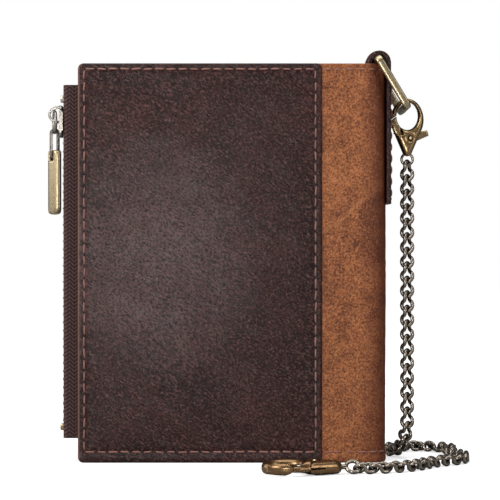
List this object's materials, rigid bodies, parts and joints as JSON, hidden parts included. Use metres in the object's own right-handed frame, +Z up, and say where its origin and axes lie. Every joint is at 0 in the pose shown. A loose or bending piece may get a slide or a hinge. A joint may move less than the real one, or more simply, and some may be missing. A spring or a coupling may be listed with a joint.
{
  "type": "chain wallet",
  "caption": "Zip-pocket bifold leather wallet with a spine band, a strap loop and ring, and a curb chain between two lobster clasps.",
  "frame": {"origin": "centre of the back cover's bottom edge", "axes": "+Z up, +X from the zip edge to the spine, +Y from the front cover to the back cover"},
  "size_m": [0.1298, 0.0719, 0.1262],
  "materials": {
    "dark_leather": "smooth pull-up leather, dark coffee brown",
    "tan_leather": "waxed crazy-horse leather, tan",
    "thread": "waxed polyester thread, dusty rose",
    "lining": "woven nylon lining",
    "inner_leather": "thin split leather",
    "tape": "herringbone zip tape",
    "zip_metal": "antique nickel teeth",
    "brass": "antique brass",
    "bronze": "antique bronze, dark in the recesses",
    "spring_steel": "spring wire",
    "film": "clear vinyl film"
  },
  "bodies": {
    "back_half": {"back_cover": "dark_leather", "back_band": "tan_leather", "back_seam": "thread", "back_lining": "lining", "back_inner_panel": "inner_leather", "card_slot_top": "inner_leather", "card_slot_middle": "inner_leather", "card_slot_bottom": "inner_leather"},
    "spine": {"spine_band": "tan_leather", "spine_lining": "lining", "strap_loop": "dark_leather", "strap_seam": "thread"},
    "front_half": {"front_cover": "dark_leather", "front_band": "tan_leather", "front_seam": "thread", "front_lining": "lining", "front_inner_panel": "inner_leather", "coin_pocket": "inner_leather", "id_window_frame": "inner_leather", "id_window_film": "film", "zipper_tape_front": "tape", "zipper_tape_rear": "tape", "zipper_teeth_front": "zip_metal", "zipper_teeth_rear": "zip_metal", "zipper_top_stop": "zip_metal", "zipper_bottom_stop": "brass"},
    "zip_slider": {"zipper_slider": "brass"},
    "pull_ring": {"pull_ring": "zip_metal"},
    "pull_link": {"pull_link": "zip_metal"},
    "pull_tab": {"pull_tab": "brass", "pull_pin": "brass"},
    "strap_ring": {"strap_ring": "brass"},
    "upper_clasp": {"upper_clasp_body": "bronze", "upper_clasp_pin": "bronze", "upper_clasp_spring": "spring_steel"},
    "upper_gate": {"upper_clasp_gate": "bronze"},
    "jump_ring": {"upper_jump_ring": "bronze"},
    "links_01": {"chain_links_01": "bronze"},
    "links_02": {"chain_links_02": "bronze"},
    "links_03": {"chain_links_03": "bronze"},
    "links_04": {"chain_links_04": "bronze"},
    "links_05": {"chain_links_05": "bronze"},
    "links_06": {"chain_links_06": "bronze"},
    "links_07": {"chain_links_07": "bronze"},
    "links_08": {"chain_links_08": "bronze"},
    "links_09": {"chain_links_09": "bronze"},
    "links_10": {"chain_links_10": "bronze"},
    "links_11": {"chain_links_11": "bronze"},
    "links_12": {"chain_links_12": "bronze"},
    "links_13": {"chain_links_13": "bronze"},
    "links_14": {"chain_links_14": "bronze"},
    "links_15": {"chain_links_15": "bronze"},
    "lower_eye": {"lower_swivel_eye": "bronze"},
    "lower_clasp": {"lower_clasp_body": "bronze", "lower_clasp_pin": "bronze", "lower_clasp_spring": "spring_steel"},
    "lower_gate": {"lower_clasp_gate": "bronze"}
  },
  "joints": [
    {"name": "book_fold", "type": "hinge", "parent": "back_half", "child": "spine", "pos_m": [0.04125, 0.0003, 0], "axis": [0, 0, 1], "range_deg": [0, 90]},
    {"name": "cover_fold", "type": "hinge", "parent": "spine", "child": "front_half", "pos_m": [0.04125, -0.0181, 0], "axis": [0, 0, 1], "range_deg": [0, 90]},
    {"name": "coin_zip_slide", "type": "slide", "parent": "front_half", "child": "zip_slider", "axis": [0, 0, -1], "range_m": [0, 0.0875], "deforming": ["zipper_teeth_front", "zipper_teeth_rear"]},
    {"name": "coin_zip_pull_ring", "type": "hinge", "parent": "zip_slider", "child": "pull_ring", "pos_m": [-0.0548, -0.013, 0.1076], "axis": [-0.2079, 0.9781, 0], "range_deg": [0, 80]},
    {"name": "coin_zip_pull_link", "type": "hinge", "parent": "pull_ring", "child": "pull_link", "pos_m": [-0.0548, -0.013, 0.1012], "axis": [-0.4384, 0.8988, 0], "range_deg": [0, 45]},
    {"name": "coin_zip_pull_tab", "type": "hinge", "parent": "pull_link", "child": "pull_tab", "pos_m": [-0.0548, -0.013, 0.09442], "axis": [-0.6428, 0.766, 0], "range_deg": [0, 60]},
    {"name": "strap_ring_swing", "type": "hinge", "parent": "spine", "child": "strap_ring", "pos_m": [0.0446, -0.0089, 0.1233], "axis": [0, -1, 0], "range_deg": [0, 25]},
    {"name": "clasp_upper_swing", "type": "hinge", "parent": "strap_ring", "child": "upper_clasp", "pos_m": [0.0532, -0.0089, 0.10899], "axis": [0, -1, 0], "range_deg": [0, 30]},
    {"name": "clasp_upper_gate", "type": "hinge", "parent": "upper_clasp", "child": "upper_gate", "pos_m": [0.0551, -0.0089, 0.09962], "axis": [0, 1, 0], "range_deg": [0, 22]},
    {"name": "jump_ring_turn", "type": "hinge", "parent": "upper_clasp", "child": "jump_ring", "pos_m": [0.0542, -0.0089, 0.0932], "axis": [0, -1, 0], "range_deg": [0, 20]},
    {"name": "link_01_swing", "type": "hinge", "parent": "jump_ring", "child": "links_01", "pos_m": [0.0542, -0.0089, 0.09148], "axis": [-0.9272, -0.3746, 0], "range_deg": [0, 15]},
    {"name": "link_02_swing", "type": "hinge", "parent": "links_01", "child": "links_02", "pos_m": [0.0542, -0.0089, 0.07841], "axis": [0.3746, -0.9272, 0], "range_deg": [0, 15]},
    {"name": "link_03_swing", "type": "hinge", "parent": "links_02", "child": "links_03", "pos_m": [0.0542, -0.0089, 0.06488], "axis": [-0.9272, -0.3746, 0], "range_deg": [0, 20]},
    {"name": "link_04_swing", "type": "hinge", "parent": "links_03", "child": "links_04", "pos_m": [0.0542, -0.0089, 0.05135], "axis": [0.3746, -0.9272, 0], "range_deg": [0, 15]},
    {"name": "link_05_swing", "type": "hinge", "parent": "links_04", "child": "links_05", "pos_m": [0.0542, -0.0089, 0.03782], "axis": [-0.9272, -0.3746, 0], "range_deg": [0, 20]},
    {"name": "link_06_swing", "type": "hinge", "parent": "links_05", "child": "links_06", "pos_m": [0.0542, -0.0089, 0.02429], "axis": [0.3746, -0.9272, 0], "range_deg": [0, 15]},
    {"name": "link_07_swing", "type": "hinge", "parent": "links_06", "child": "links_07", "pos_m": [0.0542, -0.0089, 0.01076], "axis": [0.9272, 0.3746, 0], "range_deg": [0, 6]},
    {"name": "link_08_swing", "type": "hinge", "parent": "links_07", "child": "links_08", "pos_m": [0.0508, -0.00048, 0.00168], "axis": [0.9272, 0.3746, 0], "range_deg": [0, 6]},
    {"name": "link_09_swing", "type": "hinge", "parent": "links_08", "child": "links_09", "pos_m": [0.05159, 0.01214, 0.00168], "axis": [0, 0, 1], "range_deg": [0, 20]},
    {"name": "link_10_swing", "type": "hinge", "parent": "links_09", "child": "links_10", "pos_m": [0.06406, 0.01425, 0.00168], "axis": [0, 0, 1], "range_deg": [0, 22.5]},
    {"name": "link_11_swing", "type": "hinge", "parent": "links_10", "child": "links_11", "pos_m": [0.06896, 0.00259, 0.00168], "axis": [0, 0, 1], "range_deg": [0, 22.5]},
    {"name": "link_12_swing", "type": "hinge", "parent": "links_11", "child": "links_12", "pos_m": [0.06993, -0.0106, 0.00168], "axis": [0, 0, 1], "range_deg": [0, 22.5]},
    {"name": "link_13_swing", "type": "hinge", "parent": "links_12", "child": "links_13", "pos_m": [0.06787, -0.02328, 0.00168], "axis": [0, 0, 1], "range_deg": [0, 22.5]},
    {"name": "link_14_swing", "type": "hinge", "parent": "links_13", "child": "links_14", "pos_m": [0.05811, -0.03254, 0.00168], "axis": [0, 0, 1], "range_deg": [0, 15]},
    {"name": "link_15_swing", "type": "hinge", "parent": "links_14", "child": "links_15", "pos_m": [0.04916, -0.04248, 0.00168], "axis": [0, 0, 1], "range_deg": [0, 20]},
    {"name": "clasp_lower_eye", "type": "hinge", "parent": "links_15", "child": "lower_eye", "pos_m": [0.03716, -0.04619, 0.00213], "axis": [0, 0, 1], "range_deg": [0, 15]},
    {"name": "clasp_lower_swivel", "type": "hinge", "parent": "lower_eye", "child": "lower_clasp", "pos_m": [0.03231, -0.0467, 0.00213], "axis": [-0.9945, -0.1045, 0], "continuous": true},
    {"name": "clasp_lower_gate", "type": "hinge", "parent": "lower_clasp", "child": "lower_gate", "pos_m": [0.02399, -0.04645, 0.00213], "axis": [0, 0, -1], "range_deg": [0, 22]}
  ],
  "couplings": [
    {"joint": "cover_fold", "follows": "book_fold", "ratio": 1},
    {"joint": "link_10_swing", "follows": "book_fold", "ratio": 0.25},
    {"joint": "link_11_swing", "follows": "book_fold", "ratio": 0.25},
    {"joint": "link_12_swing", "follows": "book_fold", "ratio": 0.25},
    {"joint": "link_13_swing", "follows": "book_fold", "ratio": 0.25}
  ]
}
